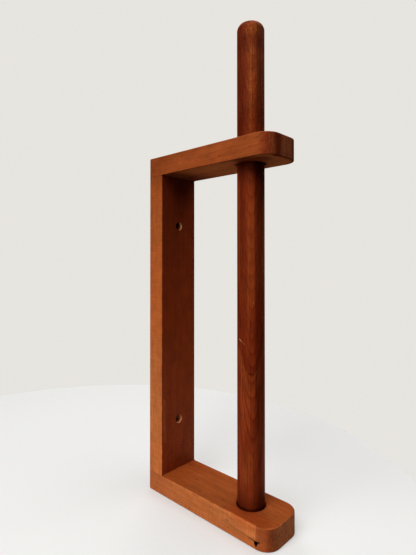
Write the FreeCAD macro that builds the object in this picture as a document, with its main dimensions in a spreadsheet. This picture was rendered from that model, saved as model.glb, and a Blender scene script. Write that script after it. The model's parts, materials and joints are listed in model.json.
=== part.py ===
"""Wall-mounted wooden paper towel holder: a back board, two round-nosed arms and a lift-out rod.

Row frame: the origin is on the wall plane, midway between the two screw holes of the back board.
+Y points into the wall, -Y out along the arms, +Z up along the rod and +X to the right seen from the front.
Both arms are one design, drawn with the joint face on the body's XY plane. The lower arm is turned over.
"""

import FreeCAD, Part
import math
import os

import Sketcher
from FreeCAD import Placement, Rotation, Vector

DIMENSIONS = {
    # the frame's stock and outline
    "stock_thickness": 20.0,
    "frame_width": 48.5,
    "arm_length": 155.0,
    "roll_gap": 312.0,
    "nose_radius": 14.5,
    "rear_round": 1.5,
    "edge_ease": 1.2,
    # the rod, and the hole and socket that guide it
    "rod_diameter": 25.4,
    "rod_length": 455.0,
    "rod_setback": 117.5,
    "rod_top_round": 6.7,
    "rod_foot_chamfer": 1.0,
    "rod_side_play": 0.8,
    "socket_depth": 13.0,
    "rim_ease": 0.6,
    # the counterbored holes for the wall screws
    "screw_spacing": 208.0,
    "screw_shank": 5.0,
    "screw_head": 9.0,
    "screw_head_depth": 10.0,
    # the glued pins inside the two corner joints
    "pin_diameter": 8.0,
    "pin_spacing": 24.0,
    "pin_in_arm": 12.0,
    "pin_in_board": 18.0,
    "pin_end_room": 0.5,
    "pin_glue_gap": 0.05,
    "pin_chamfer": 1.0,
    "flute_count": 12,
    "flute_diameter": 1.0,
    # the natural check in the side of the lower arm's nose
    "check_setback": 140.5,
    "check_drop": 13.0,
    "check_depth": 3.5,
}

# The check's outline in mm: towards the nose and up, from where its crack opens into a chip.
# The crack follows the grain back from the chip, which has a tip forwards and a tip down.
CHECK_OUTLINE = (
    (-16.9, 1.5),
    (-8.0, 0.85),
    (-1.0, 0.25),
    (4.8, 0.75),
    (1.9, -1.4),
    (1.0, -3.9),
    (-0.3, -4.5),
    (-1.5, -2.7),
    (-2.0, -0.5),
    (-8.2, 0.4),
)

# Sketcher's numbers for the origin, the two sketch axes and the points of a curve
ORIGIN = (-1, 1)
X_AXIS = -1
Y_AXIS = -2
START = 1
END = 2
CENTRE = 3

UPRIGHT = Rotation()
TURNED_OVER = Rotation(Vector(0, 1, 0), 180)
NEAR = 1e-4


def make_sheet(document):
    """Spreadsheet with one row for each driving dimension: its name, and its value under an alias."""
    cells = document.addObject("Spreadsheet::Sheet", "sheet")
    for row, (alias, size) in enumerate(DIMENSIONS.items(), start=1):
        cells.set(f"A{row}", alias.replace("_", " "))
        cells.set(f"B{row}", str(size))
        cells.setAlias(f"B{row}", alias)
    document.recompute()
    return cells


doc = FreeCAD.newDocument("paper_towel_holder")
sheet = make_sheet(doc)


def value(formula):
    """What a formula of spreadsheet cells comes to now, for the first draft of a sketch."""
    return sheet.evalExpression(formula)


# ---------------------------------------------------------------- bodies, sketches and features

def make_body(label, rotation, x="0", y="0", z="0"):
    """Body named label, placed by three formulas."""
    body = doc.addObject("PartDesign::Body", label)
    body.Label = label
    body.Placement = Placement(Vector(value(x), value(y), value(z)), rotation)
    for coordinate, formula in (("x", x), ("y", y), ("z", z)):
        if formula != "0":
            body.setExpression(f"Placement.Base.{coordinate}", formula)
    return body


def origin_feature(body, role):
    return next(feature for feature in body.Origin.OriginFeatures if feature.Role == role)


def make_sketch(body, name, plane="XY_Plane", **offsets):
    """Sketch on one of the body's origin planes, moved in that plane's frame by formulas for x, y and z."""
    sketch = body.newObject("Sketcher::SketchObject", f"{body.Name}_{name}")
    sketch.AttachmentSupport = (origin_feature(body, plane), [""])
    sketch.MapMode = "FlatFace"
    for coordinate, formula in offsets.items():
        sketch.setExpression(f"AttachmentOffset.Base.{coordinate}", formula)
    return sketch


def make_feature(body, kind, name, **properties):
    """Recomputed PartDesign feature, where a text is a formula and anything else is a plain value."""
    feature = body.newObject(f"PartDesign::{kind}", f"{body.Name}_{name}")
    for key, setting in properties.items():
        if isinstance(setting, str) and "sheet." in setting:
            feature.setExpression(key, setting)
        else:
            setattr(feature, key, setting)
    doc.recompute()
    return feature


def edges_of(feature, wanted):
    """The feature and the names of its edges whose middle point is wanted."""
    names = []
    for number, edge in enumerate(feature.Shape.Edges, start=1):
        middle = edge.valueAt((edge.FirstParameter + edge.LastParameter) / 2)
        if wanted(middle):
            names.append(f"Edge{number}")
    return feature, names


def relate(sketch, kind, *where):
    sketch.addConstraint(Sketcher.Constraint(kind, *where))


def measure(sketch, name, kind, *where_and_formula):
    """Named dimension of a sketch, bound to the formula that comes last."""
    *where, formula = where_and_formula
    number = sketch.addConstraint(Sketcher.Constraint(kind, *where, value(formula)))
    sketch.renameConstraint(number, name)
    sketch.setExpression(f"Constraints.{name}", formula)


def line(start, end):
    return Part.LineSegment(Vector(*start, 0), Vector(*end, 0))


def circle(centre, radius):
    return Part.Circle(Vector(*centre, 0), Vector(0, 0, 1), radius)


def arc(centre, radius, first_angle, last_angle):
    return Part.ArcOfCircle(circle(centre, radius), math.radians(first_angle), math.radians(last_angle))


# ---------------------------------------------------------------- sketches that the pieces share

def sketch_section(body, name):
    """The board's section, which is also the end of an arm that caps it: its back edge is on the wall."""
    sketch = make_sketch(body, name)
    half = value("sheet.frame_width / 2")
    front = -value("sheet.stock_thickness")
    sketch.addGeometry([
        line((-half, 0), (half, 0)),
        line((half, 0), (half, front)),
        line((half, front), (-half, front)),
        line((-half, front), (-half, 0)),
    ])
    for side in range(4):
        relate(sketch, "Coincident", side, END, (side + 1) % 4, START)
    relate(sketch, "PointOnObject", 0, START, X_AXIS)
    relate(sketch, "Symmetric", 0, START, 0, END, Y_AXIS)
    relate(sketch, "Vertical", 1)
    relate(sketch, "Horizontal", 2)
    relate(sketch, "Vertical", 3)
    measure(sketch, "width", "DistanceX", 0, START, 0, END, "sheet.frame_width")
    measure(sketch, "thickness", "DistanceY", 1, END, 1, START, "sheet.stock_thickness")
    return sketch


def sketch_pin_holes(body, name, **offsets):
    """The two holes for joint pins, side by side in the middle of the board's thickness."""
    sketch = make_sketch(body, name, **offsets)
    half = value("sheet.pin_spacing / 2")
    middle = -value("sheet.stock_thickness / 2")
    radius = value("sheet.pin_diameter / 2 + sheet.pin_glue_gap")
    sketch.addGeometry([circle((-half, middle), radius), circle((half, middle), radius)])
    relate(sketch, "Equal", 0, 1)
    relate(sketch, "Symmetric", 0, CENTRE, 1, CENTRE, Y_AXIS)
    measure(sketch, "spacing", "DistanceX", 0, CENTRE, 1, CENTRE, "sheet.pin_spacing")
    measure(sketch, "setback", "DistanceY", 0, CENTRE, *ORIGIN, "sheet.stock_thickness / 2")
    measure(sketch, "hole", "Radius", 0, "sheet.pin_diameter / 2 + sheet.pin_glue_gap")
    return sketch


# ---------------------------------------------------------------- the frame

def make_back_board():
    """Upright board with eased long edges, two counterbored screw holes and pin holes in both ends."""
    body = make_body("back_board", UPRIGHT)
    blank = make_feature(
        body, "Pad", "blank",
        Profile=sketch_section(body, "section"), SideType="Symmetric", Length="sheet.roll_gap",
    )

    # the front edges are eased like the arms, and the back edges a little more
    middle_height = lambda point: abs(point.z) < NEAR
    front_edges = edges_of(blank, lambda point: middle_height(point) and point.y < -NEAR)
    eased = make_feature(body, "Fillet", "front_ease", Base=front_edges, Radius="sheet.edge_ease")
    back_edges = edges_of(eased, lambda point: middle_height(point) and point.y > -NEAR)
    make_feature(body, "Fillet", "back_ease", Base=back_edges, Radius="sheet.rear_round")

    screws = make_sketch(body, "screw_centres", plane="XZ_Plane", z="sheet.stock_thickness")
    half = value("sheet.screw_spacing / 2")
    radius = value("sheet.screw_shank / 2")
    screws.addGeometry([circle((0, -half), radius), circle((0, half), radius)])
    relate(screws, "Equal", 0, 1)
    relate(screws, "PointOnObject", 0, CENTRE, Y_AXIS)
    relate(screws, "Symmetric", 0, CENTRE, 1, CENTRE, X_AXIS)
    measure(screws, "spacing", "DistanceY", 0, CENTRE, 1, CENTRE, "sheet.screw_spacing")
    measure(screws, "shank", "Diameter", 0, "sheet.screw_shank")
    make_feature(
        body, "Hole", "screw_holes",
        Profile=screws, DepthType="ThroughAll", Diameter="sheet.screw_shank",
        HoleCutType="Counterbore", HoleCutDiameter="sheet.screw_head", HoleCutDepth="sheet.screw_head_depth",
    )

    depth = "sheet.pin_in_board + sheet.pin_end_room"
    top_pins = sketch_pin_holes(body, "top_pins", z="sheet.roll_gap / 2")
    make_feature(body, "Pocket", "top_pin_holes", Profile=top_pins, Length=depth)
    bottom_pins = sketch_pin_holes(body, "bottom_pins", z="-sheet.roll_gap / 2")
    make_feature(body, "Pocket", "bottom_pin_holes", Profile=bottom_pins, Length=depth, Reversed=True)
    return body


def sketch_nose(body):
    """The part of an arm in front of the board: a strip whose two front corners are rounded."""
    sketch = make_sketch(body, "nose")
    half = value("sheet.frame_width / 2")
    back = -value("sheet.stock_thickness")
    front = -value("sheet.arm_length")
    radius = value("sheet.nose_radius")
    sketch.addGeometry([
        line((-half, back), (-half, front + radius)),
        arc((-half + radius, front + radius), radius, 180, 270),
        line((-half + radius, front), (half - radius, front)),
        arc((half - radius, front + radius), radius, 270, 360),
        line((half, front + radius), (half, back)),
        line((half, back), (-half, back)),
    ])
    for piece in range(4):
        relate(sketch, "Tangent", piece, END, piece + 1, START)
    relate(sketch, "Coincident", 4, END, 5, START)
    relate(sketch, "Coincident", 5, END, 0, START)
    relate(sketch, "Vertical", 0)
    relate(sketch, "Horizontal", 2)
    relate(sketch, "Vertical", 4)
    relate(sketch, "Equal", 1, 3)
    relate(sketch, "Symmetric", 5, START, 5, END, Y_AXIS)
    measure(sketch, "width", "DistanceX", 5, END, 5, START, "sheet.frame_width")
    measure(sketch, "back", "DistanceY", 5, START, *ORIGIN, "sheet.stock_thickness")
    measure(sketch, "front", "DistanceY", 2, START, *ORIGIN, "sheet.arm_length")
    measure(sketch, "corner", "Radius", 1, "sheet.nose_radius")
    return sketch


def make_arm(label, rotation, height, rod_hole):
    """Arm with its joint face on the body's XY plane and a hole for the rod that starts in that face."""
    body = make_body(label, rotation, z=height)
    thickness = "sheet.stock_thickness"

    # the edges of the joint face are eased on the nose only, so that the glued end fits the board flush
    nose = make_feature(body, "Pad", "nose_blank", Profile=sketch_nose(body), Length=thickness)
    board_face = -value(thickness)
    inner_edges = edges_of(nose, lambda point: abs(point.z) < NEAR and point.y < board_face - NEAR)
    make_feature(body, "Fillet", "inner_ease", Base=inner_edges, Radius="sheet.edge_ease")

    cap = make_feature(body, "Pad", "cap", Profile=sketch_section(body, "cap_section"), Length=thickness)
    middle_height = lambda point: abs(point.z - value(thickness) / 2) < NEAR
    back_edges = edges_of(cap, lambda point: middle_height(point) and point.y > -NEAR)
    rounded = make_feature(body, "Fillet", "back_ease", Base=back_edges, Radius="sheet.rear_round")
    outer_edges = edges_of(rounded, lambda point: abs(point.z - value(thickness)) < NEAR)
    make_feature(body, "Fillet", "outer_ease", Base=outer_edges, Radius="sheet.edge_ease")

    hole_radius = "sheet.rod_diameter / 2 + sheet.rod_side_play"
    ring = make_sketch(body, "rod_hole")
    ring.addGeometry(circle((0, -value("sheet.rod_setback")), value(hole_radius)))
    relate(ring, "PointOnObject", 0, CENTRE, Y_AXIS)
    measure(ring, "setback", "DistanceY", 0, CENTRE, *ORIGIN, "sheet.rod_setback")
    measure(ring, "hole", "Radius", 0, hole_radius)
    hole = make_feature(body, "Pocket", "rod_pocket", Profile=ring, Reversed=True, **rod_hole)

    rod_axis = Vector(0, -value("sheet.rod_setback"), 0)
    outer_faces = (0, value(thickness))

    def on_rim(point):
        from_axis = math.hypot(point.x - rod_axis.x, point.y - rod_axis.y)
        on_face = any(abs(point.z - level) < NEAR for level in outer_faces)
        return on_face and abs(from_axis - value(hole_radius)) < NEAR

    make_feature(body, "Chamfer", "rim_ease", Base=edges_of(hole, on_rim), Size="sheet.rim_ease")

    make_feature(
        body, "Pocket", "pin_holes",
        Profile=sketch_pin_holes(body, "pins"), Length="sheet.pin_in_arm + sheet.pin_end_room", Reversed=True,
    )
    return body


def add_natural_check(body):
    """Dark crack with a small chip, along the grain in the side of the nose."""
    sketch = make_sketch(
        body, "natural_check", plane="YZ_Plane",
        x="-sheet.check_setback", y="sheet.check_drop", z="sheet.frame_width / 2",
    )
    corners = [(-forward, -up) for forward, up in CHECK_OUTLINE]
    count = len(corners)
    for number in range(count):
        sketch.addGeometry(line(corners[number], corners[(number + 1) % count]))
    for number in range(count):
        relate(sketch, "Coincident", number, END, (number + 1) % count, START)
        relate(sketch, "Block", number)
    make_feature(body, "Pocket", "natural_check_cut", Profile=sketch, Length="sheet.check_depth")


# ---------------------------------------------------------------- the rod and the joint pins

def make_spindle_rod():
    """Turned rod: a chamfered foot, a plain shank and a rounded top with a small flat in the middle."""
    body = make_body(
        "spindle_rod", UPRIGHT,
        y="-sheet.rod_setback", z="-sheet.roll_gap / 2 - sheet.socket_depth",
    )
    profile = make_sketch(body, "half_profile", plane="XZ_Plane")
    radius = value("sheet.rod_diameter / 2")
    length = value("sheet.rod_length")
    chamfer = value("sheet.rod_foot_chamfer")
    top_round = value("sheet.rod_top_round")
    profile.addGeometry([
        line((0, 0), (radius - chamfer, 0)),
        line((radius - chamfer, 0), (radius, chamfer)),
        line((radius, chamfer), (radius, length - top_round)),
        arc((radius - top_round, length - top_round), top_round, 0, 90),
        line((radius - top_round, length), (0, length)),
        line((0, length), (0, 0)),
    ])
    relate(profile, "Coincident", 0, END, 1, START)
    relate(profile, "Coincident", 1, END, 2, START)
    relate(profile, "Tangent", 2, END, 3, START)
    relate(profile, "Tangent", 3, END, 4, START)
    relate(profile, "Coincident", 4, END, 5, START)
    relate(profile, "Coincident", 5, END, 0, START)
    relate(profile, "Coincident", 0, START, *ORIGIN)
    relate(profile, "Horizontal", 0)
    relate(profile, "Vertical", 2)
    relate(profile, "Horizontal", 4)
    relate(profile, "Vertical", 5)
    measure(profile, "chamfer_run", "DistanceX", 1, START, 1, END, "sheet.rod_foot_chamfer")
    measure(profile, "chamfer_rise", "DistanceY", 1, START, 1, END, "sheet.rod_foot_chamfer")
    measure(profile, "radius", "DistanceX", *ORIGIN, 2, START, "sheet.rod_diameter / 2")
    measure(profile, "length", "DistanceY", *ORIGIN, 5, START, "sheet.rod_length")
    measure(profile, "top_round", "Radius", 3, "sheet.rod_top_round")
    make_feature(body, "Revolution", "turning", Profile=profile, ReferenceAxis=(profile, ["V_Axis"]), Angle=360)
    return body


def make_joint_pin(label, side, rotation, height):
    """Fluted pin across a corner joint: its XY plane is the joint, and it reaches up into the arm."""
    body = make_body(
        label, rotation,
        x=f"{side} * sheet.pin_spacing / 2", y="-sheet.stock_thickness / 2", z=height,
    )
    ring = make_sketch(body, "round")
    ring.addGeometry(circle((0, 0), value("sheet.pin_diameter / 2")))
    relate(ring, "Coincident", 0, CENTRE, *ORIGIN)
    measure(ring, "pin", "Diameter", 0, "sheet.pin_diameter")
    dowel = make_feature(
        body, "Pad", "dowel",
        Profile=ring, SideType="Two sides", Length="sheet.pin_in_arm", Length2="sheet.pin_in_board",
    )

    levels = (value("sheet.pin_in_arm"), -value("sheet.pin_in_board"))
    end_edges = edges_of(dowel, lambda point: any(abs(point.z - level) < NEAR for level in levels))
    make_feature(body, "Chamfer", "ends", Base=end_edges, Size="sheet.pin_chamfer")

    flute = make_sketch(body, "flute")
    flute.addGeometry(circle((value("sheet.pin_diameter / 2"), 0), value("sheet.flute_diameter / 2")))
    relate(flute, "PointOnObject", 0, CENTRE, X_AXIS)
    measure(flute, "offset", "DistanceX", *ORIGIN, 0, CENTRE, "sheet.pin_diameter / 2")
    measure(flute, "width", "Diameter", 0, "sheet.flute_diameter")
    groove = make_feature(body, "Pocket", "groove", Profile=flute, SideType="Symmetric", Type="ThroughAll")
    pattern = make_feature(
        body, "PolarPattern", "grooves",
        Originals=[groove], Axis=(origin_feature(body, "Z_Axis"), [""]), Angle=360,
        Occurrences="sheet.flute_count",
    )
    body.Tip = pattern
    doc.recompute()
    return body


# ---------------------------------------------------------------- checks and files

def check_model(bodies):
    """Stops on a failed object, a loose sketch, a cut that removes nothing or an unsound solid."""
    for thing in doc.Objects:
        if {"Invalid", "Error"} & set(thing.State):
            raise RuntimeError(f"{thing.Name} failed: {thing.State}")
        if thing.TypeId == "Sketcher::SketchObject" and not thing.FullyConstrained:
            raise RuntimeError(f"{thing.Name} isn't fully constrained")
        if thing.TypeId in ("PartDesign::Pocket", "PartDesign::Hole"):
            if thing.Shape.Volume > thing.BaseFeature.Shape.Volume - NEAR:
                raise RuntimeError(f"{thing.Name} cuts nothing")
    for body in bodies:
        if body.Shape.isNull() or not body.Shape.isValid() or len(body.Shape.Solids) != 1:
            raise RuntimeError(f"{body.Label} isn't one sound solid")


def write_parts(bodies):
    os.makedirs("parts", exist_ok=True)
    for body in bodies:
        body.Shape.exportStep(f"parts/{body.Label}.step")
        box = body.Shape.BoundBox
        print(f"{body.Label:24s} volume {body.Shape.Volume / 1000:8.2f} cm3   "
              f"x {box.XMin:8.2f} {box.XMax:8.2f}   y {box.YMin:8.2f} {box.YMax:8.2f}   "
              f"z {box.ZMin:8.2f} {box.ZMax:8.2f}")


def build():
    upper_joint = "sheet.roll_gap / 2"
    lower_joint = "-sheet.roll_gap / 2"

    back_board = make_back_board()
    upper_arm = make_arm("upper_arm", UPRIGHT, upper_joint, {"Type": "ThroughAll"})
    lower_arm = make_arm("lower_arm", TURNED_OVER, lower_joint, {"Length": "sheet.socket_depth"})
    add_natural_check(lower_arm)
    spindle_rod = make_spindle_rod()
    joint_pins = [
        make_joint_pin(f"{level}_joint_pin_{name}", side, rotation, height)
        for level, rotation, height in (("upper", UPRIGHT, upper_joint), ("lower", TURNED_OVER, lower_joint))
        for name, side in (("left", -1), ("right", 1))
    ]
    doc.recompute()

    bodies = [back_board, upper_arm, lower_arm, spindle_rod, *joint_pins]
    check_model(bodies)
    write_parts(bodies)


build()
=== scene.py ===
"""Looks of the wooden paper towel holder: oiled red-brown wood, soft light and a pale stage.

Every length is in metres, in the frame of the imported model. Each piece of wood is a solid pattern
of growth rings about its own pith line, so that long grain, edges and end grain agree on all sides.
The marks of age and use are painted over it, each one fixed to its piece. The tones were set to
match the photo under the lights of this scene, so some of them, and some of the marks, stand for
the photo's light and shade, and stay where they are when the light changes.
"""

import json
import math

import bpy
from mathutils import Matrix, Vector


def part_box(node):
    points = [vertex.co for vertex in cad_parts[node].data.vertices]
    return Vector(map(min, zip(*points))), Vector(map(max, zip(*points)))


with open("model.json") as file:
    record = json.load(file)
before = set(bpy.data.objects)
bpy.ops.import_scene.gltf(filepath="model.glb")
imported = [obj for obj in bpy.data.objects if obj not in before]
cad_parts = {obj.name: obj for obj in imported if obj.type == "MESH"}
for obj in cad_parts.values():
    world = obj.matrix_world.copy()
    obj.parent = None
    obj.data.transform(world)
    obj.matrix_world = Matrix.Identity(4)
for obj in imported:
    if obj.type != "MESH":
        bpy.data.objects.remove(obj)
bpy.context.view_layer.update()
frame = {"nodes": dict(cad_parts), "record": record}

MM = 0.001

# Places that the looks depend on, read from the frame
BOARD_LOW, BOARD_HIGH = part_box("back_board")
ARM_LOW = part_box("lower_arm")[0]
ROD_LOW, ROD_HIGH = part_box("spindle_rod")
FLOOR_HEIGHT = ARM_LOW.z
HALF_WIDTH = BOARD_HIGH.x
BOARD_FRONT = BOARD_LOW.y
ARM_FRONT = ARM_LOW.y
UPPER_JOINT = BOARD_HIGH.z
LOWER_JOINT = BOARD_LOW.z
ROD_CENTRE_Y = (ROD_LOW.y + ROD_HIGH.y) / 2
SCREWS = next(mount for mount in frame["record"]["mounts"] if mount["name"] == "wall_screws")
SCREW_RISE = SCREWS["dims"]["spacing_y_mm"] * MM / 2

# Sizes of the model that the frame doesn't give
SCREW_HEAD_RADIUS = 4.5 * MM
SOCKET_RADIUS = 13.5 * MM
NOSE_RADIUS = 14.5 * MM

# Where the arms' round front corners begin, ahead of the wall, and how far out their axes are
NOSE_START = -ARM_FRONT - NOSE_RADIUS
NOSE_AXIS = HALF_WIDTH - NOSE_RADIUS


# ---------------------------------------------------------------- camera

CAMERA_PLACE = (-0.3104, -0.3538, 0.0675)
CAMERA_YAW = math.radians(46.88)
CAMERA_PITCH = math.radians(0.56)
CAMERA_LENS = 27.22
CAMERA_SHIFT_Y = -0.0389
CAMERA_NEAR = 0.01


def add_camera():
    """Almost level camera at the left of the front, with a small shift that lowers the view."""
    data = bpy.data.cameras.new("camera")
    data.lens = CAMERA_LENS
    data.shift_y = CAMERA_SHIFT_Y
    data.clip_start = CAMERA_NEAR
    camera = bpy.data.objects.new("camera", data)
    camera.location = CAMERA_PLACE
    camera.rotation_euler = (math.pi / 2 + CAMERA_PITCH, 0, -CAMERA_YAW)
    bpy.context.scene.collection.objects.link(camera)
    bpy.context.scene.camera = camera


# ---------------------------------------------------------------- shader graph helpers

class Graph:
    """One material's node tree, with short ways to add joined nodes."""

    def __init__(self, name):
        self.material = bpy.data.materials.new(name)
        self.material.use_nodes = True
        self.tree = self.material.node_tree
        self.tree.nodes.clear()

    def node(self, kind, inputs=None, **settings):
        """New node of that kind; inputs maps a socket's name or number to a value or another socket."""
        made = self.tree.nodes.new("ShaderNode" + kind)
        for key, setting in settings.items():
            setattr(made, key, setting)
        for key, given in (inputs or {}).items():
            if isinstance(given, bpy.types.NodeSocket):
                self.tree.links.new(given, made.inputs[key])
            else:
                made.inputs[key].default_value = given
        return made

    def math(self, operation, *given, clamp=False):
        made = self.node("Math", dict(enumerate(given)), operation=operation, use_clamp=clamp)
        return made.outputs[0]

    def product(self, first, *others):
        """All the given values, multiplied together."""
        for other in others:
            first = self.math("MULTIPLY", first, other)
        return first

    def vector_math(self, operation, *given):
        made = self.node("VectorMath", dict(enumerate(given)), operation=operation)
        return made.outputs["Value" if operation in ("LENGTH", "DOT_PRODUCT") else "Vector"]

    def noise(self, vector, detail=2.0, roughness=0.5, distortion=0.0):
        """Noise from about 0 to 1 that averages 0.5, with cells one unit of the vector wide."""
        made = self.node("TexNoise", {
            "Vector": vector, "Scale": 1.0, "Detail": detail,
            "Roughness": roughness, "Distortion": distortion,
        })
        return made.outputs["Fac"]

    def ramp(self, value, low, high, smooth=True):
        """0 where value is at most low, 1 where it is at least high; low may be the larger."""
        made = self.node(
            "MapRange", {"Value": value, "From Min": low, "From Max": high},
            interpolation_type="SMOOTHSTEP" if smooth else "LINEAR", clamp=True,
        )
        return made.outputs["Result"]

    def near(self, value, middle, edge, core):
        """1 where value is within core of middle, down to 0 where it is edge away."""
        return self.ramp(self.math("ABSOLUTE", self.math("SUBTRACT", value, middle)), edge, core)

    def mix(self, factor, first, second, blend="MIX"):
        made = self.node("Mix", {"Factor": factor}, data_type="RGBA", blend_type=blend)
        for socket, given in ((made.inputs[6], first), (made.inputs[7], second)):
            if isinstance(given, bpy.types.NodeSocket):
                self.tree.links.new(given, socket)
            else:
                socket.default_value = (*given, 1.0)
        return made.outputs[2]

    def dyed(self, colour, factors):
        """The colour, multiplied by the factors."""
        return self.mix(1.0, colour, factors, blend="MULTIPLY")

    def tint(self, colour, factors, *shares):
        """The colour, multiplied by the factors as far as the product of the shares goes from 0 to 1."""
        return self.mix(self.product(*shares), colour, self.dyed(colour, factors))

    def shade(self, colour, amount):
        """The colour multiplied by a grey amount."""
        grey = self.node("CombineColor", {0: amount, 1: amount, 2: amount}).outputs[0]
        return self.dyed(colour, grey)

    def split(self, vector):
        return self.node("SeparateXYZ", {"Vector": vector}).outputs[:3]

    def join(self, x, y, z):
        return self.node("CombineXYZ", {0: x, 1: y, 2: z}).outputs[0]


# ---------------------------------------------------------------- wood

# Cells to a metre of each pattern in the wood: across the grain, and along it
RING_WANDER_CELLS = (26, 9)
CRISPNESS_CELLS = (20, 12)
COARSE_FIBRE_CELLS = (420, 9)
FINE_FIBRE_CELLS = (1700, 40)
PORE_CELLS = (1300, 120)
RAY_CELLS = (70, 620)
MOTTLE_CELLS = (130, 60)
CLOUD_CELLS = (18, 9)
BAND_CELLS = (120, 5)

# Cells to a metre of the vessels in end grain and of the rubbed parts of edges: along x, y and z
VESSEL_CELLS = (900, 900, 330)
RUBBING_CELLS = (170, 170, 170)

# Tints that multiply a wood's own colour
LATE_WOOD_TINT = (0.66, 0.50, 0.45)
YEAR_TINT = (0.72, 0.62, 0.58)
CLOUD_TINT = (0.95, 0.84, 0.76)
RUBBED_TINT = (1.45, 1.75, 2.1)
# painted shade on eased edges that look down
DOWN_EDGE_SHADE_TINT = (0.30, 0.20, 0.17)

# Rings: how suddenly late wood darkens, and how quickly one year's tone turns into the next one's
LATE_WOOD_POWER = 3.0
YEAR_PACE = 0.45

# How clearly rings show at least, what patches add to that, and what the clearest stretch adds
LEAST_CRISPNESS = 0.3
PATCH_CRISPNESS = 0.7
CLEAREST_CRISPNESS = 1.2

# How far pores and vessels change the tone, and fine fibres and clouds as shares of the coarse
# fibres' and the mottling's depth
PORE_DEPTH = 0.35
VESSEL_DEPTH = 1.5
FINE_FIBRE_SHARE = 0.7
CLOUD_SHARE = 0.5

# Oiled surface: weak reddish gloss over shallow relief
SPECULAR_LEVEL = 0.05
SPECULAR_TINT = (1.0, 0.62, 0.38, 1.0)
BASE_ROUGHNESS = 0.50
FIBRE_ROUGHNESS = 0.16
END_GRAIN_ROUGHNESS = 0.12
RELIEF_STRENGTH = 0.35
RELIEF_HEIGHT = 0.06 * MM
PORE_RELIEF = -1.0
FIBRE_RELIEF = 0.5
LATE_WOOD_RELIEF = 0.3


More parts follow.
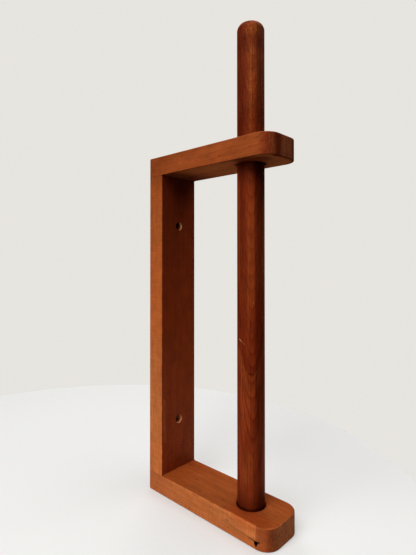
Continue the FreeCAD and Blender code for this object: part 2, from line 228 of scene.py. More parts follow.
class Wood(Graph):
    """Node tree of one wood, which also knows the surface's place, normal and grain ("y" or "z")."""

    def __init__(self, name, grain, seed):
        super().__init__(name)
        coordinates = self.node("TexCoord")
        self.place = coordinates.outputs["Object"]
        self.normal = coordinates.outputs["Normal"]
        self.x, self.y, self.z = self.split(self.place)
        normal_parts = self.split(self.normal)
        self.upward = normal_parts[2]
        self.facing_x, self.facing_y, self.facing_z = (
            self.math("POWER", part, 2.0) for part in normal_parts
        )
        self.grain = grain
        self.seed = seed
        if grain == "z":
            self.across, self.along, self.facing_along = (self.x, self.y), self.z, self.facing_z
        else:
            self.across, self.along, self.facing_along = (self.x, self.z), self.y, self.facing_y

    def grain_noise(self, cells, **settings):
        """Noise with that many cells to a metre across the grain and along it."""
        across_cells, along_cells = cells
        first, second = self.across
        scaled = [self.math("MULTIPLY_ADD", part, count, self.seed + step) for part, count, step in (
            (first, across_cells, 0.0), (second, across_cells, 3.7), (self.along, along_cells, 7.9),
        )]
        return self.noise(self.join(*scaled), **settings)

    def cell_noise(self, cells, **settings):
        """Noise with that many cells to a metre along x, y and z."""
        return self.noise(self.vector_math("MULTIPLY", self.place, cells), **settings)

    def patches(self, cells, low, high, detail=2.0):
        """1 where the noise with those cells is above high, down to 0 where it is below low."""
        return self.ramp(self.cell_noise(cells, detail=detail), low, high)

    def distance(self, point, scales):
        """Distance from a point, with x, y and z each scaled."""
        offset = self.vector_math("SUBTRACT", self.place, point)
        return self.vector_math("LENGTH", self.vector_math("MULTIPLY", offset, scales))

    def near_segment(self, start, end, core, edge):
        """1 within core of the line from start to end, down to 0 at edge."""
        start, along = Vector(start), Vector(end) - Vector(start)
        offset = self.vector_math("SUBTRACT", self.place, tuple(start))
        share = self.vector_math("DOT_PRODUCT", offset, tuple(along / along.length_squared))
        share = self.math("MULTIPLY", share, 1.0, clamp=True)
        nearest = self.node("VectorMath", {0: tuple(along), "Scale": share}, operation="SCALE").outputs[0]
        gap = self.vector_math("LENGTH", self.vector_math("SUBTRACT", offset, nearest))
        return self.ramp(gap, edge, core)

    def side_tones(self, tones, oblique):
        """Mean colours of surfaces that look along x, y and z, and a tint between x and y."""
        # the tones and the tint between x and y are partly painted light and shade
        colour = self.mix(self.ramp(self.facing_y, 0.2, 0.8), tones[0], tones[1])
        colour = self.mix(self.ramp(self.facing_z, 0.2, 0.8), colour, tones[2])
        if oblique:
            # half-way between x and y the two shares are a half each, and their product a quarter
            colour = self.tint(colour, oblique, self.facing_x, self.facing_y, 4.0)
        return colour

    def growth_rings(self, pith, ring, taper, wander):
        """1 in the late wood at the end of each ring, and noise that gives each year its own tone."""
        squares = [self.math("POWER", self.math("SUBTRACT", part, centre), 2.0)
                   for part, centre in zip(self.across, pith)]
        radius = self.math("SQRT", self.math("ADD", *squares))
        radius = self.math("MULTIPLY_ADD", self.along, taper, radius)
        radius = self.math("MULTIPLY_ADD", self.grain_noise(RING_WANDER_CELLS), wander, radius)
        count = self.math("DIVIDE", radius, ring)
        phase = self.math("FRACT", count)
        late_wood = self.product(self.math("POWER", phase, LATE_WOOD_POWER), self.ramp(phase, 1.0, 0.9))
        years = self.math("MULTIPLY", count, YEAR_PACE)
        year = self.noise(self.join(years, self.seed, 0.0), detail=1.0)
        return late_wood, year

    def crispness(self, clear_figure):
        """How clearly the rings show: in patches, and most about clear_figure along the grain."""
        patchy = self.ramp(self.grain_noise(CRISPNESS_CELLS, detail=1.0), 0.35, 0.65)
        crispness = self.math("MULTIPLY_ADD", patchy, PATCH_CRISPNESS, LEAST_CRISPNESS)
        if clear_figure is not None:
            clearest = self.near(self.along, clear_figure, 60 * MM, 20 * MM)
            crispness = self.math("MULTIPLY_ADD", clearest, CLEAREST_CRISPNESS, crispness)
        return crispness

    def slant(self):
        """Most where the surface looks between two long sides, as an eased edge does."""
        if self.grain == "z":
            return self.product(self.facing_x, self.facing_y)
        return self.product(self.facing_z, self.math("SUBTRACT", 1.0, self.facing_z))

    def worn_and_shaded_edges(self, colour, edge_wear):
        """Eased edges, rubbed lighter in places by edge_wear, and painted shade where they look down."""
        edge = self.ramp(self.slant(), 0.06, 0.22)
        colour = self.tint(colour, RUBBED_TINT, edge, self.patches(RUBBING_CELLS, 0.35, 0.65), edge_wear)
        # painted shade on eased edges that look down
        edge_shade = self.product(edge, self.ramp(self.upward, -0.25, -0.5))
        if self.grain == "y":
            # an arm's edge is closed where the board stands against it
            open_edge = self.ramp(self.y, BOARD_FRONT + 0.4 * MM, BOARD_FRONT - 0.4 * MM)
            edge_shade = self.product(edge_shade, open_edge)
        return self.tint(colour, DOWN_EDGE_SHADE_TINT, edge_shade)


def make_wood(name, *, grain, pith, tones, ring=2.6 * MM, taper=0.03, wander=5 * MM, seed=0.0,
              ring_depth=0.7, year_depth=0.4, bands=0.15, streaks=0.32, figure=0.3, flecks=0.0,
              edge_wear=0.6, clear_figure=None, oblique=None, marks=None):
    """Oiled wood, cut from a log whose pith runs along grain ("y" or "z") and passes at pith.

    tones are the mean colours of surfaces that look along x, y and z: long grain, flat grain and
    end grain take oil differently, and the rest of the difference is the photo's light. Rings are
    ring wide, spread by taper along the log, wander by that much, and show most about clear_figure
    along the grain. ring_depth, year_depth, bands, streaks, figure and flecks are how far the rings'
    late wood, the years, wide stripes, the fibres, slow mottling and the rays across the grain change
    the tone. edge_wear is how far eased edges are rubbed. oblique tints surfaces between x and y.
    marks may change the colour at the end.
    """
    wood = Wood(name, grain, seed)
    late_wood, year = wood.growth_rings(pith, ring, taper, wander)

    # fibres and pores, long and thin along the grain, rays across it, and slow mottling
    coarse_fibres = wood.grain_noise(COARSE_FIBRE_CELLS, detail=3.0, roughness=0.6)
    fine_fibres = wood.grain_noise(FINE_FIBRE_CELLS, roughness=0.6)
    pores = wood.ramp(wood.grain_noise(PORE_CELLS, detail=1.0), 0.60, 0.72)
    rays = wood.ramp(wood.grain_noise(RAY_CELLS, detail=1.0), 0.45, 0.7)
    mottle = wood.grain_noise(MOTTLE_CELLS, detail=3.0, roughness=0.55, distortion=0.4)
    clouds = wood.grain_noise(CLOUD_CELLS, detail=1.0)
    wide_bands = wood.grain_noise(BAND_CELLS)

    colour = wood.side_tones(tones, oblique)
    colour = wood.tint(colour, LATE_WOOD_TINT, late_wood, ring_depth, wood.crispness(clear_figure))
    colour = wood.tint(colour, YEAR_TINT, wood.ramp(year, 0.35, 0.7), year_depth)
    colour = wood.tint(colour, CLOUD_TINT, wood.ramp(clouds, 0.35, 0.7))

    # grey tone: patterns that average 0.5 leave its mean at 1
    tone = 1.0
    for pattern, depth in (
        (coarse_fibres, streaks), (fine_fibres, streaks * FINE_FIBRE_SHARE), (mottle, figure),
        (clouds, figure * CLOUD_SHARE), (wide_bands, bands),
    ):
        tone = wood.math("MULTIPLY_ADD", wood.math("SUBTRACT", pattern, 0.5), 2 * depth, tone)
    tone = wood.math("MULTIPLY_ADD", pores, -PORE_DEPTH, tone)
    tone = wood.math("MULTIPLY_ADD", wood.product(rays, wood.facing_x), flecks, tone)
    end_grain = wood.ramp(wood.facing_along, 0.3, 0.9)
    vessels = wood.math("SUBTRACT", wood.cell_noise(VESSEL_CELLS, roughness=0.7), 0.5)
    tone = wood.math("MULTIPLY_ADD", wood.product(vessels, end_grain), VESSEL_DEPTH, tone)
    colour = wood.shade(colour, tone)

    if edge_wear:
        colour = wood.worn_and_shaded_edges(colour, edge_wear)
    if marks:
        colour = marks(wood, colour)

    roughness = wood.math("MULTIPLY_ADD", coarse_fibres, FIBRE_ROUGHNESS, BASE_ROUGHNESS)
    roughness = wood.math("MULTIPLY_ADD", end_grain, END_GRAIN_ROUGHNESS, roughness)
    height = wood.math("MULTIPLY_ADD", pores, PORE_RELIEF, wood.product(fine_fibres, FIBRE_RELIEF))
    height = wood.math("MULTIPLY_ADD", late_wood, LATE_WOOD_RELIEF, height)
    bump = wood.node("Bump", {"Strength": RELIEF_STRENGTH, "Distance": RELIEF_HEIGHT, "Height": height})
    shader = wood.node("BsdfPrincipled", {
        "Base Color": colour, "Roughness": roughness, "Normal": bump.outputs[0],
        "Specular IOR Level": SPECULAR_LEVEL, "Specular Tint": SPECULAR_TINT,
    })
    output = wood.node("OutputMaterial", {"Surface": shader.outputs[0]})
    output.is_active_output = True
    return wood.material


# ---------------------------------------------------------------- marks that several pieces share

# the first tint darkens dust, a crack and glue lines, and is also painted shade in corners and by the rod
DUST_AND_SHADE_TINT = (0.42, 0.34, 0.36)
BACK_END_TINT = (0.66, 0.50, 0.42)
# dirt and painted shade at the rod's hole or socket: at its mouth, and on its wall
MOUTH_DIRT_AND_SHADE_TINT = (0.80, 0.72, 0.70)
HOLE_WALL_DIRT_AND_SHADE_TINT = (0.30, 0.24, 0.24)
RAW_WOOD = (0.80, 0.35, 0.15)

# Cells to a metre of the patches of painted shade in an inner corner
CORNER_SHADE_CELLS = (70, 70, 70)

# The marks of a side start a little way in on the next face, and are full on the eased edge
SIDE_STARTS = HALF_WIDTH - 2.5 * MM
SIDE_FULL = HALF_WIDTH - 1.2 * MM


def corner_shade_patches(wood):
    """Soft patches in which painted shade lies in an inner corner."""
    return wood.patches(CORNER_SHADE_CELLS, 0.0, 0.6)


def left_side(wood):
    """1 on the left side of an arm."""
    return wood.ramp(wood.x, -SIDE_STARTS, -SIDE_FULL)


def dark_back_end(wood, colour):
    """Dark end grain on the back end of an arm, which is a guess: the photo doesn't show it."""
    return wood.tint(colour, BACK_END_TINT, wood.ramp(wood.y, -1.5 * MM, -0.4 * MM))


def distance_from_rod(wood):
    """Distance from the line through the middle of the rod."""
    gap = wood.math("SUBTRACT", wood.y, ROD_CENTRE_Y)
    return wood.vector_math("LENGTH", wood.join(wood.x, gap, 0.0))


def hole_dirt_and_shade(wood, colour):
    """Dirt and painted shade, soft around the mouth of the rod's hole or socket, and dark on its wall."""
    gap = wood.math("SUBTRACT", distance_from_rod(wood), SOCKET_RADIUS)
    colour = wood.tint(colour, MOUTH_DIRT_AND_SHADE_TINT, wood.ramp(gap, 3 * MM, 0.1 * MM))
    return wood.tint(colour, HOLE_WALL_DIRT_AND_SHADE_TINT, wood.ramp(gap, 0.25 * MM, 0.0))


# ---------------------------------------------------------------- back board

# painted light at the board's foot and painted shade at its head
BOARD_FOOT_PAINTED_LIGHT = (1.12, 1.22, 1.30)
BOARD_HEAD_PAINTED_SHADE = (0.79, 0.69, 0.63)
STREAK_TINT = (1.45, 1.85, 1.7)
DENT_TINT = (1.45, 1.7, 1.6)
BOARD_SIDE_TINT = (0.93, 0.87, 0.84)
BOARD_SIDE_END_TINT = (0.74, 0.78, 0.82)
# painted shade deep in the screw holes
DEEP_HOLE_SHADE = (0.02, 0.007, 0.003)

# The painted shade in the corner under the upper arm: its lowest point, how steeply its edge rises
# from there to both sides, how high it is full, and how dark it is then
CORNER_POINT = 100 * MM
CORNER_SLOPE = 1.6
CORNER_FADE = 45 * MM
CORNER_SHARE = 0.75

# Ends of the pale rubbed streak beside the lower screw hole, and cells that break it up
STREAK_TOP = (-20.6 * MM, BOARD_FRONT, -80 * MM)
STREAK_FOOT = (-20.2 * MM, BOARD_FRONT, -122 * MM)
STREAK_CELLS = (300, 300, 70)

# Small dents in the finish
DENT_CELLS = (480, 480, 480)

# In a screw hole painted shade darkens the wood between these depths; height above the hole's axis
# counts as this much more depth
HOLE_SHADE_START = 4.2 * MM
HOLE_SHADE_FULL = 8 * MM
HEIGHT_AS_DEPTH = 1.15

GLUE_LINE_SHARE = 0.08


def bare_screw_holes(wood, colour):
    """Raw wood in the counterbores, where no stain reached; deeper in, first at the top, it has painted
    shade.
    """
    level = wood.math("SUBTRACT", wood.math("ABSOLUTE", wood.z), SCREW_RISE)
    from_axis = wood.vector_math("LENGTH", wood.join(wood.x, level, 0.0))
    in_hole = wood.ramp(from_axis, SCREW_HEAD_RADIUS + 0.25 * MM, SCREW_HEAD_RADIUS)
    past_mouth = wood.ramp(wood.y, BOARD_FRONT + 0.25 * MM, BOARD_FRONT + 0.6 * MM)
    height = wood.math("MULTIPLY", level, wood.math("SIGN", wood.z))
    depth = wood.math("SUBTRACT", wood.y, BOARD_FRONT)
    into_shade = wood.math("MULTIPLY_ADD", height, HEIGHT_AS_DEPTH, depth)
    shade = wood.ramp(into_shade, HOLE_SHADE_START, HOLE_SHADE_FULL)
    hole_colour = wood.mix(shade, RAW_WOOD, DEEP_HOLE_SHADE)
    return wood.mix(wood.product(in_hole, past_mouth), colour, hole_colour)


def board_marks(wood, colour):
    """Painted shade that lightens downwards, painted shade in the corner under the upper arm, a pale
    streak, dents, bare wood in the screw holes with painted shade deeper in, redder sides towards the
    upper joint, and glue lines.
    """
    # painted shade, darker towards the upper arm and lighter towards the floor
    height = wood.ramp(wood.z, LOWER_JOINT, UPPER_JOINT, smooth=False)
    colour = wood.mix(height, wood.dyed(colour, BOARD_FOOT_PAINTED_LIGHT), wood.dyed(colour, BOARD_HEAD_PAINTED_SHADE))
    from_middle = wood.math("ABSOLUTE", wood.x)
    front = wood.ramp(wood.y, BOARD_FRONT + 2 * MM, BOARD_FRONT + 0.5 * MM)

    # painted shade in the corner under the upper arm, drawn down to a point in the middle
    rise = wood.math("SUBTRACT", wood.z, CORNER_POINT)
    rise = wood.math("MULTIPLY_ADD", from_middle, -CORNER_SLOPE, rise)
    shade_in_corner = wood.product(wood.ramp(rise, 0.0, CORNER_FADE), front, CORNER_SHARE)
    colour = wood.tint(colour, DUST_AND_SHADE_TINT, shade_in_corner, corner_shade_patches(wood))

    # pale rubbed streak beside the lower screw hole
    streak = wood.near_segment(STREAK_TOP, STREAK_FOOT, 0.2 * MM, 2.6 * MM)
    colour = wood.tint(colour, STREAK_TINT, streak, wood.patches(STREAK_CELLS, 0.30, 0.55))

    # small dents in the finish near the lower end
    dents = wood.patches(DENT_CELLS, 0.66, 0.72, detail=1.0)
    colour = wood.tint(colour, DENT_TINT, dents, front, wood.ramp(wood.z, -112 * MM, -136 * MM))

    colour = bare_screw_holes(wood, colour)

    # redder sides towards the upper joint
    side = wood.ramp(from_middle, SIDE_STARTS, SIDE_FULL)
    colour = wood.tint(colour, BOARD_SIDE_TINT, side, wood.ramp(wood.z, 60 * MM, UPPER_JOINT))
    last_part = wood.ramp(wood.z, UPPER_JOINT - 17 * MM, UPPER_JOINT)
    colour = wood.tint(colour, BOARD_SIDE_END_TINT, side, last_part)

    # glue line at both ends
    from_end = wood.math("SUBTRACT", UPPER_JOINT, wood.math("ABSOLUTE", wood.z))
    return wood.tint(colour, DUST_AND_SHADE_TINT, wood.ramp(from_end, 0.4 * MM, 0.1 * MM), GLUE_LINE_SHARE)


def board_wood():
    return make_wood(
        "board_wood", grain="z", pith=(14 * MM, 52 * MM), taper=0.02, seed=0.31,
        ring_depth=0.35, year_depth=0.25, bands=0.05, streaks=0.14, figure=0.30, flecks=0.13,
        tones=((0.49, 0.137, 0.034), (0.235, 0.038, 0.0092), (0.25, 0.06, 0.02)),
        marks=board_marks,
    )


# ---------------------------------------------------------------- upper arm

# the first three tints are painted shade under the arm
UNDERSIDE_SHADE_TINT = (0.55, 0.44, 0.44)
ROD_RING_SHADE_TINT = (0.70, 0.58, 0.55)
DARK_PATCH_SHADE_TINT = (0.42, 0.28, 0.25)
UPPER_REAR_TINT = (0.90, 0.86, 0.82)
NOSE_BAND_TINT = (0.48, 0.26, 0.15)
NOSE_END_TINT = (0.45, 0.36, 0.28)
NOSE_LINE_TINT = (0.80, 0.72, 0.66)

# Ends of the patch of painted shade underneath, in front of the rod
DARK_PATCH_START = (-20 * MM, -122 * MM, UPPER_JOINT)
DARK_PATCH_END = (-11 * MM, -139 * MM, UPPER_JOINT)

# Fine upright lines on the nose
NOSE_LINE_CELLS = (900, 900, 60)


def underside_painted_shade(wood, colour):
    """Painted shade under the arm: in the inner corner beside the board, around the rod, and in a dark
    patch in front of it.
    """
    below = wood.ramp(wood.z, UPPER_JOINT + 0.5 * MM, UPPER_JOINT + 0.1 * MM)
    colour = wood.tint(colour, UNDERSIDE_SHADE_TINT, below, wood.ramp(wood.y, -68 * MM, -24 * MM))
    shade_in_corner = wood.product(below, wood.ramp(wood.y, -72 * MM, -22 * MM))
    colour = wood.tint(colour, DUST_AND_SHADE_TINT, shade_in_corner, corner_shade_patches(wood))
    around_rod = wood.ramp(distance_from_rod(wood), SOCKET_RADIUS + 5.5 * MM, SOCKET_RADIUS + 0.1 * MM)
    colour = wood.tint(colour, ROD_RING_SHADE_TINT, below, around_rod)
    dark_patch = wood.near_segment(DARK_PATCH_START, DARK_PATCH_END, 4 * MM, 13 * MM)
    return wood.tint(colour, DARK_PATCH_SHADE_TINT, below, dark_patch)


def upper_arm_marks(wood, colour):
    """Painted shade on the underside, a darker rear on the left, a dark band and a dark right end on the
    nose, fine lines across it, dirt and painted shade in the rod's hole, and a dark back end.
    """
    colour = underside_painted_shade(wood, colour)
    colour = wood.tint(colour, UPPER_REAR_TINT, left_side(wood), wood.ramp(wood.y, -50 * MM, -15 * MM))

    # dark band on the left round corner, dark right end, and fine upright lines, all on the nose
    front = wood.ramp(wood.y, ARM_FRONT + 6 * MM, ARM_FRONT + 3 * MM)
    band = wood.product(
        wood.ramp(wood.x, -17.5 * MM, -12.5 * MM),
        wood.ramp(wood.x, -1 * MM, -11 * MM),
    )
    colour = wood.tint(colour, NOSE_BAND_TINT, band, front)
    colour = wood.tint(colour, NOSE_END_TINT, wood.ramp(wood.x, 9 * MM, 13 * MM), front)
    lines = wood.patches(NOSE_LINE_CELLS, 0.52, 0.62, detail=1.0)
    colour = wood.tint(colour, NOSE_LINE_TINT, lines, front)

    colour = hole_dirt_and_shade(wood, colour)
    return dark_back_end(wood, colour)


def upper_arm_wood():
    return make_wood(
        "upper_arm_wood", grain="y", pith=(130 * MM, 100 * MM), taper=0.03, seed=1.7,
        ring_depth=0.45, flecks=0.06,
        tones=((0.332, 0.073, 0.0168), (0.345, 0.092, 0.031), (0.34, 0.090, 0.021)),
        oblique=(0.78, 0.56, 0.5), marks=upper_arm_marks,
    )


# ---------------------------------------------------------------- lower arm

PALE_PATCH_TINT = (1.13, 1.28, 1.40)
# painted shade on the round corner ahead of the pale patch
NOSE_CORNER_SHADE_TINT = (0.74, 0.67, 0.67)
LOWER_REAR_TINT = (0.86, 0.82, 0.80)
KNOT_TINT = (1.35, 1.5, 1.5)
RED_PATCH_TINT = (0.93, 0.70, 0.62)
RED_REAR_TINT = (0.97, 0.84, 0.74)
# painted shade inside the check
CHECK_SHADE_BLACK = (0.006, 0.003, 0.002)

# Where along y the pale patch ends, in a straight upright line
PATCH_END = -140.5 * MM

# A small knot in front of the check, drawn out along y, with rings this far apart
KNOT_PLACE = (-HALF_WIDTH, -147.5 * MM, LOWER_JOINT - 14 * MM)
KNOT_SCALES = (1.0, 0.7, 1.3)
KNOT_RING = 1.5 * MM

# Ends of the hairline crack behind the check, and how dark it is
CRACK_START = (-HALF_WIDTH, -132 * MM, -168.2 * MM)
CRACK_END = (-HALF_WIDTH, -141 * MM, -168.6 * MM)
CRACK_SHARE = 0.55

# Room around the check, along y and z, and how far it may go in from the left side
CHECK_ROOM_Y = (-158 * MM, -122 * MM)
CHECK_ROOM_Z = (-175 * MM, -166.5 * MM)
CHECK_ROOM_X = -HALF_WIDTH + 8 * MM

# Redder wood on top, in front of the rod on the left, drawn out along y
RED_PATCH_PLACE = (-17 * MM, -128 * MM, LOWER_JOINT)
RED_PATCH_SCALES = (1.0, 0.5, 1.0)


def pale_patch(wood, colour):
    """A pale patch that ends in a straight line above the check, and painted shade on the round corner
    ahead of it.
    """
    left = left_side(wood)
    above = wood.ramp(wood.z, LOWER_JOINT - 12.8 * MM, LOWER_JOINT - 11.4 * MM)
    behind = wood.ramp(wood.y, PATCH_END - 0.2 * MM, PATCH_END + 0.2 * MM)
    fading = wood.ramp(wood.y, -70 * MM, -135 * MM)
    colour = wood.tint(colour, PALE_PATCH_TINT, above, behind, fading, left)
    # painted shade on the round corner ahead of the patch
    ahead = wood.ramp(wood.y, PATCH_END + 0.2 * MM, PATCH_END - 0.2 * MM)
    before_nose = wood.ramp(wood.y, -152 * MM, -143 * MM)
    return wood.tint(colour, NOSE_CORNER_SHADE_TINT, ahead, before_nose, left)


def knot_and_crack(wood, colour):
    """The swirl of a small knot in front of the check, and a hairline crack behind it."""
    gap = wood.distance(KNOT_PLACE, KNOT_SCALES)
    swirl = wood.math("SINE", wood.math("MULTIPLY", gap, 2 * math.pi / KNOT_RING))
    knot = wood.product(wood.ramp(gap, 4.5 * MM, 1 * MM), wood.ramp(swirl, -0.6, 0.8))
    colour = wood.tint(colour, KNOT_TINT, knot)
    crack = wood.near_segment(CRACK_START, CRACK_END, 0.1 * MM, 0.75 * MM)
    return wood.tint(colour, DUST_AND_SHADE_TINT, crack, CRACK_SHARE)


def shaded_check(wood, colour):
    """Black painted shade inside the check: deeper than the side's surface, which turns into the round
    nose.
    """
    past = wood.math("MINIMUM", wood.math("ADD", wood.y, NOSE_START), 0.0)
    from_nose_axis = wood.join(wood.math("ADD", wood.x, NOSE_AXIS), past, 0.0)
    depth = wood.math("SUBTRACT", NOSE_RADIUS, wood.vector_math("LENGTH", from_nose_axis))
    in_check = wood.ramp(depth, 0.1 * MM, 0.6 * MM)
    for value, (low, high) in ((wood.y, CHECK_ROOM_Y), (wood.z, CHECK_ROOM_Z)):
        above_low = wood.math("GREATER_THAN", value, low)
        below_high = wood.math("LESS_THAN", value, high)
        in_check = wood.product(in_check, above_low, below_high)
    in_check = wood.product(in_check, wood.math("LESS_THAN", wood.x, CHECK_ROOM_X))
    return wood.mix(in_check, colour, CHECK_SHADE_BLACK)


def redder_top(wood, colour):
    """Redder wood on top: in front of the rod on the left, and at the rear."""
    gap = wood.distance(RED_PATCH_PLACE, RED_PATCH_SCALES)
    colour = wood.tint(colour, RED_PATCH_TINT, wood.ramp(gap, 16 * MM, 5 * MM))
    top = wood.ramp(wood.z, LOWER_JOINT - 1.5 * MM, LOWER_JOINT - 0.3 * MM)
    return wood.tint(colour, RED_REAR_TINT, top, wood.ramp(wood.y, -62 * MM, -24 * MM))


def lower_arm_marks(wood, colour):
    """The natural check with its knot, its crack, black painted shade inside it and the pale patch above
    it, painted shade on the round corner ahead, a darker rear on the left, a redder top, dirt and painted
    shade in the rod's socket, and a dark back end.
    """
    colour = pale_patch(wood, colour)
    colour = wood.tint(colour, LOWER_REAR_TINT, wood.ramp(wood.y, -42 * MM, -16 * MM), left_side(wood))
    colour = knot_and_crack(wood, colour)
    colour = shaded_check(wood, colour)
    colour = redder_top(wood, colour)
    colour = hole_dirt_and_shade(wood, colour)
    return dark_back_end(wood, colour)


def lower_arm_wood():
    return make_wood(
        "lower_arm_wood", grain="y", pith=(150 * MM, -200 * MM), taper=-0.04, seed=2.9,
        ring_depth=0.3, year_depth=0.3, streaks=0.24, figure=0.22, flecks=0.13,
        tones=((0.515, 0.144, 0.038), (0.272, 0.080, 0.025), (0.322, 0.074, 0.0163)),
        oblique=(0.66, 0.50, 0.48), marks=lower_arm_marks,
    )


# ---------------------------------------------------------------- rod

HAND_RUBBED_TINT = (1.36, 1.78, 1.66)
DARK_BAND_TINT = (0.80, 0.74, 0.72)
TOP_BAND_TINT = (0.60, 0.48, 0.46)
GOLDEN_TINT = (1.30, 1.60, 1.45)
# painted shadow at the mouth of the socket
SOCKET_LINE_SHADE_TINT = (0.30, 0.22, 0.22)

# Heights of the middles of two dark bands above the upper arm
DARK_BAND_HEIGHT = 196 * MM
TOP_BAND_HEIGHT = 265 * MM

# Cells to a metre of the speckle that shows where hands have rubbed
SPECKLE_CELLS = (900, 900, 420)

# A slow noise, and how far it moves the edges of the tones on the rod's sides
UNEVEN_CELLS = (70, 70, 14)
UNEVENNESS = 0.2

# Tones that follow light and dark stripes on the rod, partly the wood's own figure and partly painted
# highlights and painted shade: where a surface looks (x, y), how squarely it looks there for none and
# for all of the tone, the stretch of the length, and the tint. Tones that follow the photo's light
# and dark stripes on the rod: where a surface looks (x, y), how squarely it looks there for none and
# for all of the tone, the stretch of the length, and the tint
ROD_FIGURE_AND_PAINTED_LIGHT = (
    ((-0.14, -0.99), 0.87, 0.94, "whole", (0.74, 0.78, 0.78)),
    ((-0.77, -0.64), 0.94, 0.99, "upper_half", (1.38, 1.62, 1.58)),
    ((0.45, -0.89), 0.88, 0.97, "whole", (1.45, 1.50, 1.50)),
    ((0.45, -0.89), 0.84, 0.94, "upper_half", (1.40, 1.70, 1.60)),
    ((-0.44, -0.90), 0.93, 0.985, "whole", (0.80, 0.68, 0.66)),
    ((-0.88, 0.48), 0.50, 0.95, "above_arm", (0.86, 0.80, 0.80)),
    ((-0.90, 0.44), 0.30, 0.90, "top_end", (0.78, 0.70, 0.66)),
    ((-0.93, -0.37), 0.60, 0.90, "between_arms", (1.12, 1.14, 1.10)),
    ((-0.93, -0.37), 0.60, 0.90, "pale_part", (1.22, 1.36, 1.32)),
    ((-0.52, -0.85), 0.86, 0.97, "pale_part", (0.80, 0.70, 0.68)),
    ((0.00, -1.00), 0.35, 0.90, "under_arm", (0.60, 0.58, 0.58)),
    ((-0.29, -0.96), 0.970, 0.992, "whole", (1.22, 1.28, 1.10)),
    ((0.12, -0.99), 0.955, 0.985, "lower_half", (0.80, 0.72, 0.74)),
    ((-0.99, -0.10), 0.94, 0.995, "upper_part", (0.88, 0.80, 0.86)),
    ((-0.99, -0.17), 0.91, 0.985, "middle_part", (1.20, 1.28, 1.20)),
    ((-0.79, -0.61), 0.93, 0.99, "dark_part", (0.80, 0.78, 0.78)),
    ((-0.92, -0.39), 0.87, 0.96, "brown_part", (1.08, 1.38, 1.25)),
    ((0.10, -0.99), 0.925, 0.98, "above_arm", (0.93, 0.74, 0.76)),
    ((-0.96, 0.28), 0.93, 0.98, "above_arm", (0.84, 0.76, 0.82)),
)

# A tongue of late wood: the direction across it, how far its middle line is off the rod's, the
# height of its round point, how much the point is curved, its tints, and what breaks its outline
TONGUE_ACROSS = (0.68, -0.73, 0.0)
TONGUE_OFFSET = -1 * MM
TONGUE_POINT = -35 * MM
TONGUE_CURVE = 215.0
TONGUE_TINT = (0.80, 0.64, 0.62)
TONGUE_OUTLINE_TINT = (0.48, 0.42, 0.42)
TONGUE_RIM_TINT = (1.15, 1.25, 1.2)
TONGUE_BREAK_CELLS = (420, 420, 160)

# Dirt and painted shade where an arm guides the rod: the height of its middle, its reach, and how dark it
# is
GUIDE_DIRT_AND_SHADE = (
    (UPPER_JOINT, 22 * MM, 0.62),
    (LOWER_JOINT, 28 * MM, 0.65),
)
SOCKET_LINE_SHADE_SHARE = 0.8

# Scratches: where each starts and ends, and how much bare wood shows in it; a long one turns faint
LONG_SCRATCH_START = (-12.0 * MM, ROD_CENTRE_Y + 4.3 * MM, -3.9 * MM)
LONG_SCRATCH_MIDDLE = (-12.65 * MM, ROD_CENTRE_Y + 1.1 * MM, -6.0 * MM)
LONG_SCRATCH_END = (-12.45 * MM, ROD_CENTRE_Y - 2.7 * MM, -8.5 * MM)
SCRATCHES = (
    (LONG_SCRATCH_START, LONG_SCRATCH_MIDDLE, 0.6),
    (LONG_SCRATCH_MIDDLE, LONG_SCRATCH_END, 0.15),
    ((-8.9 * MM, -126.6 * MM, 29.5 * MM), (-8.2 * MM, -127.2 * MM, 28.6 * MM), 0.2),
)


def rod_stretches(wood):
    """1 on each named stretch of the rod's length, with soft ends."""
    z = wood.z
    return {
        "whole": 1.0,
        "top_end": wood.ramp(z, 200 * MM, 240 * MM),
        "above_arm": wood.ramp(z, 150 * MM, 175 * MM),
        "under_arm": wood.product(wood.ramp(z, 132 * MM, 150 * MM), wood.ramp(z, 176 * MM, 166 * MM)),
        "between_arms": wood.ramp(z, 150 * MM, 130 * MM),
        "upper_part": wood.ramp(z, 40 * MM, 65 * MM),
        "upper_half": wood.ramp(z, -30 * MM, 20 * MM),
        "lower_half": wood.ramp(z, 20 * MM, -30 * MM),
        "middle_part": wood.near(z, 0.0, 50 * MM, 25 * MM),
        "pale_part": wood.near(z, -66 * MM, 32 * MM, 12 * MM),
        "dark_part": wood.near(z, -95 * MM, 17 * MM, 6 * MM),
        "brown_part": wood.near(z, -118 * MM, 20 * MM, 8 * MM),
    }


def rod_side(wood, uneven, direction, low, high):
    """Uneven mask for the rod's side that looks in a direction (x, y)."""
    match = wood.vector_math("DOT_PRODUCT", wood.normal, (*direction, 0.0))
    match = wood.math("MULTIPLY_ADD", uneven, UNEVENNESS, match)
    return wood.ramp(match, low + UNEVENNESS / 2, high + UNEVENNESS / 2)


def tongue(wood, colour, left_front):
    """A dark tongue of late wood, which comes to a round point low on the left front."""
    offset = wood.vector_math("SUBTRACT", wood.place, (0.0, ROD_CENTRE_Y, 0.0))
    sideways = wood.math("SUBTRACT", wood.vector_math("DOT_PRODUCT", offset, TONGUE_ACROSS), TONGUE_OFFSET)
    curve = wood.product(wood.math("MULTIPLY", sideways, sideways), -TONGUE_CURVE)
    rise = wood.math("ADD", wood.math("SUBTRACT", wood.z, TONGUE_POINT), curve)
    inside = wood.product(wood.ramp(rise, 0.0, 2.5 * MM), wood.ramp(rise, 75 * MM, 40 * MM))
    outline = wood.product(
        wood.near(rise, 0.0, 1.5 * MM, 0.3 * MM),
        wood.patches(TONGUE_BREAK_CELLS, 0.30, 0.60),
        wood.ramp(wood.z, -18 * MM, -30 * MM),
    )
    rim = wood.product(wood.ramp(rise, -0.5 * MM, -2.5 * MM), wood.ramp(rise, -22 * MM, -8 * MM))
    colour = wood.tint(colour, TONGUE_TINT, inside, left_front)
    colour = wood.tint(colour, TONGUE_OUTLINE_TINT, outline, left_front)
    return wood.tint(colour, TONGUE_RIM_TINT, rim, left_front)


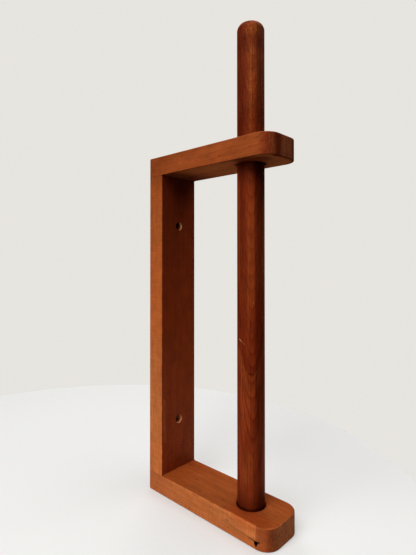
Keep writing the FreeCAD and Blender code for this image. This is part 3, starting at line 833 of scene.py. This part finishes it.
def rod_marks(wood, colour):
    """A browner, speckled top that hands have rubbed, figure, painted highlights and painted shade on the
    sides, dark bands near the top, a dark tongue of late wood, dirt and painted shade where the arms
    guide the rod, and scratches.
    """
    speckle = wood.patches(SPECKLE_CELLS, 0.4, 0.65)
    uneven = wood.cell_noise(UNEVEN_CELLS)
    rubbed = wood.math("MULTIPLY_ADD", speckle, 0.7, 0.3)
    colour = wood.tint(colour, HAND_RUBBED_TINT, wood.ramp(wood.z, 160 * MM, 200 * MM), rubbed)

    stretches = rod_stretches(wood)
    for direction, low, high, stretch, factors in ROD_FIGURE_AND_PAINTED_LIGHT:
        side = rod_side(wood, uneven, direction, low, high)
        colour = wood.tint(colour, factors, side, stretches[stretch])

    # two dark bands above the upper arm, and a golden speckled end that looks to the left front
    colour = wood.tint(colour, DARK_BAND_TINT, wood.near(wood.z, DARK_BAND_HEIGHT, 16 * MM, 4 * MM))
    top_band = wood.near(wood.z, TOP_BAND_HEIGHT, 10 * MM, 3 * MM)
    colour = wood.tint(colour, TOP_BAND_TINT, top_band, uneven)
    end_side = rod_side(wood, uneven, (-0.60, -0.80), 0.55, 0.85)
    colour = wood.tint(colour, GOLDEN_TINT, wood.ramp(wood.z, 268 * MM, 276 * MM), speckle, end_side)

    colour = tongue(wood, colour, rod_side(wood, uneven, (-0.73, -0.68), 0.10, 0.40))

    # dirt and painted shade where the arms guide the rod, and a thin line of painted shadow at the mouth
    # of the socket
    for middle, reach, share in GUIDE_DIRT_AND_SHADE:
        colour = wood.tint(colour, DUST_AND_SHADE_TINT, wood.near(wood.z, middle, reach, 3 * MM), share)
    socket_line = wood.near(wood.z, LOWER_JOINT, 3 * MM, 0.6 * MM)
    colour = wood.tint(colour, SOCKET_LINE_SHADE_TINT, socket_line, SOCKET_LINE_SHADE_SHARE)

    for start, end, share in SCRATCHES:
        scratch = wood.near_segment(start, end, 0.12 * MM, 0.55 * MM)
        colour = wood.mix(wood.product(scratch, share), colour, RAW_WOOD)
    return colour


def rod_wood():
    return make_wood(
        "rod_wood", grain="z", pith=(46 * MM, -75 * MM), ring=1.3 * MM, taper=0.10, wander=5.5 * MM,
        seed=4.3, ring_depth=0.75, year_depth=0.7, bands=0.45, streaks=0.7, edge_wear=0.0,
        clear_figure=-52 * MM,
        tones=((0.195, 0.029, 0.0070), (0.215, 0.035, 0.0090), (0.20, 0.036, 0.010)),
        marks=rod_marks,
    )


# ---------------------------------------------------------------- joint pins

def pin_wood():
    return make_wood(
        "pin_wood", grain="z", pith=(20 * MM, 20 * MM), ring=1.6 * MM, seed=5.1,
        tones=((0.55, 0.36, 0.20), (0.55, 0.36, 0.20), (0.42, 0.26, 0.14)),
    )


# ---------------------------------------------------------------- dressing the pieces

def dress(node, material):
    """Gives a CAD node its one material."""
    piece = frame["nodes"][node]
    piece.data.materials.clear()
    piece.data.materials.append(material)


def dress_pieces():
    dress("back_board", board_wood())
    dress("upper_arm", upper_arm_wood())
    dress("lower_arm", lower_arm_wood())
    dress("spindle_rod", rod_wood())
    pin_material = pin_wood()
    for level in ("upper", "lower"):
        for side in ("left", "right"):
            dress(f"{level}_joint_pin_{side}", pin_material)


# ---------------------------------------------------------------- stage and light

FLOOR_SIDES = 256
FLOOR_RADIUS = 0.38
FLOOR_CENTRE = (-0.09, 0.06)
FLOOR_THICKNESS = 0.004
FLOOR_COLOUR = (0.60, 0.597, 0.585)
FLOOR_ROUGHNESS = 0.8
FLOOR_GLOW = 0.45
BACKDROP_COLOUR = (0.80, 0.78, 0.74)
AMBIENT_COLOUR = (1.0, 0.98, 0.95)
AMBIENT_STRENGTH = 0.03
LIT_POINT = Vector((0.0, ROD_CENTRE_Y / 2, 0.0))


def add_floor():
    """Plain pale round table top under the holder, which glows a little to keep shadows faint."""
    bpy.ops.mesh.primitive_cylinder_add(
        vertices=FLOOR_SIDES, radius=FLOOR_RADIUS, depth=FLOOR_THICKNESS,
        location=(*FLOOR_CENTRE, FLOOR_HEIGHT - FLOOR_THICKNESS / 2),
    )
    floor = bpy.context.object
    floor.name = "floor"
    graph = Graph("floor_paint")
    shader = graph.node("BsdfPrincipled", {
        "Base Color": (*FLOOR_COLOUR, 1.0), "Roughness": FLOOR_ROUGHNESS,
        "Emission Color": (*FLOOR_COLOUR, 1.0), "Emission Strength": FLOOR_GLOW,
    })
    graph.node("OutputMaterial", {"Surface": shader.outputs[0]})
    floor.data.materials.append(graph.material)


def add_world():
    """Pale backdrop for the camera, which lights the holder only a little."""
    world = bpy.data.worlds.new("soft_world")
    world.use_nodes = True
    tree = world.node_tree
    tree.nodes.clear()
    output = tree.nodes.new("ShaderNodeOutputWorld")
    chooser = tree.nodes.new("ShaderNodeMixShader")
    ray = tree.nodes.new("ShaderNodeLightPath")
    ambient = tree.nodes.new("ShaderNodeBackground")
    ambient.inputs["Color"].default_value = (*AMBIENT_COLOUR, 1.0)
    ambient.inputs["Strength"].default_value = AMBIENT_STRENGTH
    backdrop = tree.nodes.new("ShaderNodeBackground")
    backdrop.inputs["Color"].default_value = (*BACKDROP_COLOUR, 1.0)
    tree.links.new(ray.outputs["Is Camera Ray"], chooser.inputs[0])
    tree.links.new(ambient.outputs[0], chooser.inputs[1])
    tree.links.new(backdrop.outputs[0], chooser.inputs[2])
    tree.links.new(chooser.outputs[0], output.inputs["Surface"])
    bpy.context.scene.world = world


def add_soft_light(name, direction, distance, size, power, glossy=True):
    """Square soft box that shines at the middle of the holder from a direction."""
    data = bpy.data.lights.new(name, "AREA")
    data.shape = "SQUARE"
    data.size = size
    data.energy = power
    light = bpy.data.objects.new(name, data)
    away = Vector(direction).normalized()
    light.location = LIT_POINT + away * distance
    light.rotation_euler = away.to_track_quat("Z", "Y").to_euler()
    light.visible_camera = False
    light.visible_glossy = glossy
    bpy.context.scene.collection.objects.link(light)


def add_light():
    """The backdrop, and soft boxes at the left, above, and behind on the right."""
    add_world()
    add_soft_light("window", (-0.88, -0.10, 0.45), distance=1.2, size=0.8, power=4.6)
    add_soft_light("skylight", (-0.57, -0.05, 0.80), distance=1.2, size=0.8, power=9.0)
    add_soft_light("ceiling", (0.25, -0.25, 1.0), distance=1.1, size=0.9, power=6.4)
    add_soft_light("back_fill", (0.6, 0.8, 0.35), distance=1.4, size=1.0, power=9.3, glossy=False)
    bpy.context.scene.view_settings.view_transform = "Standard"


add_camera()
add_floor()
add_light()
dress_pieces()
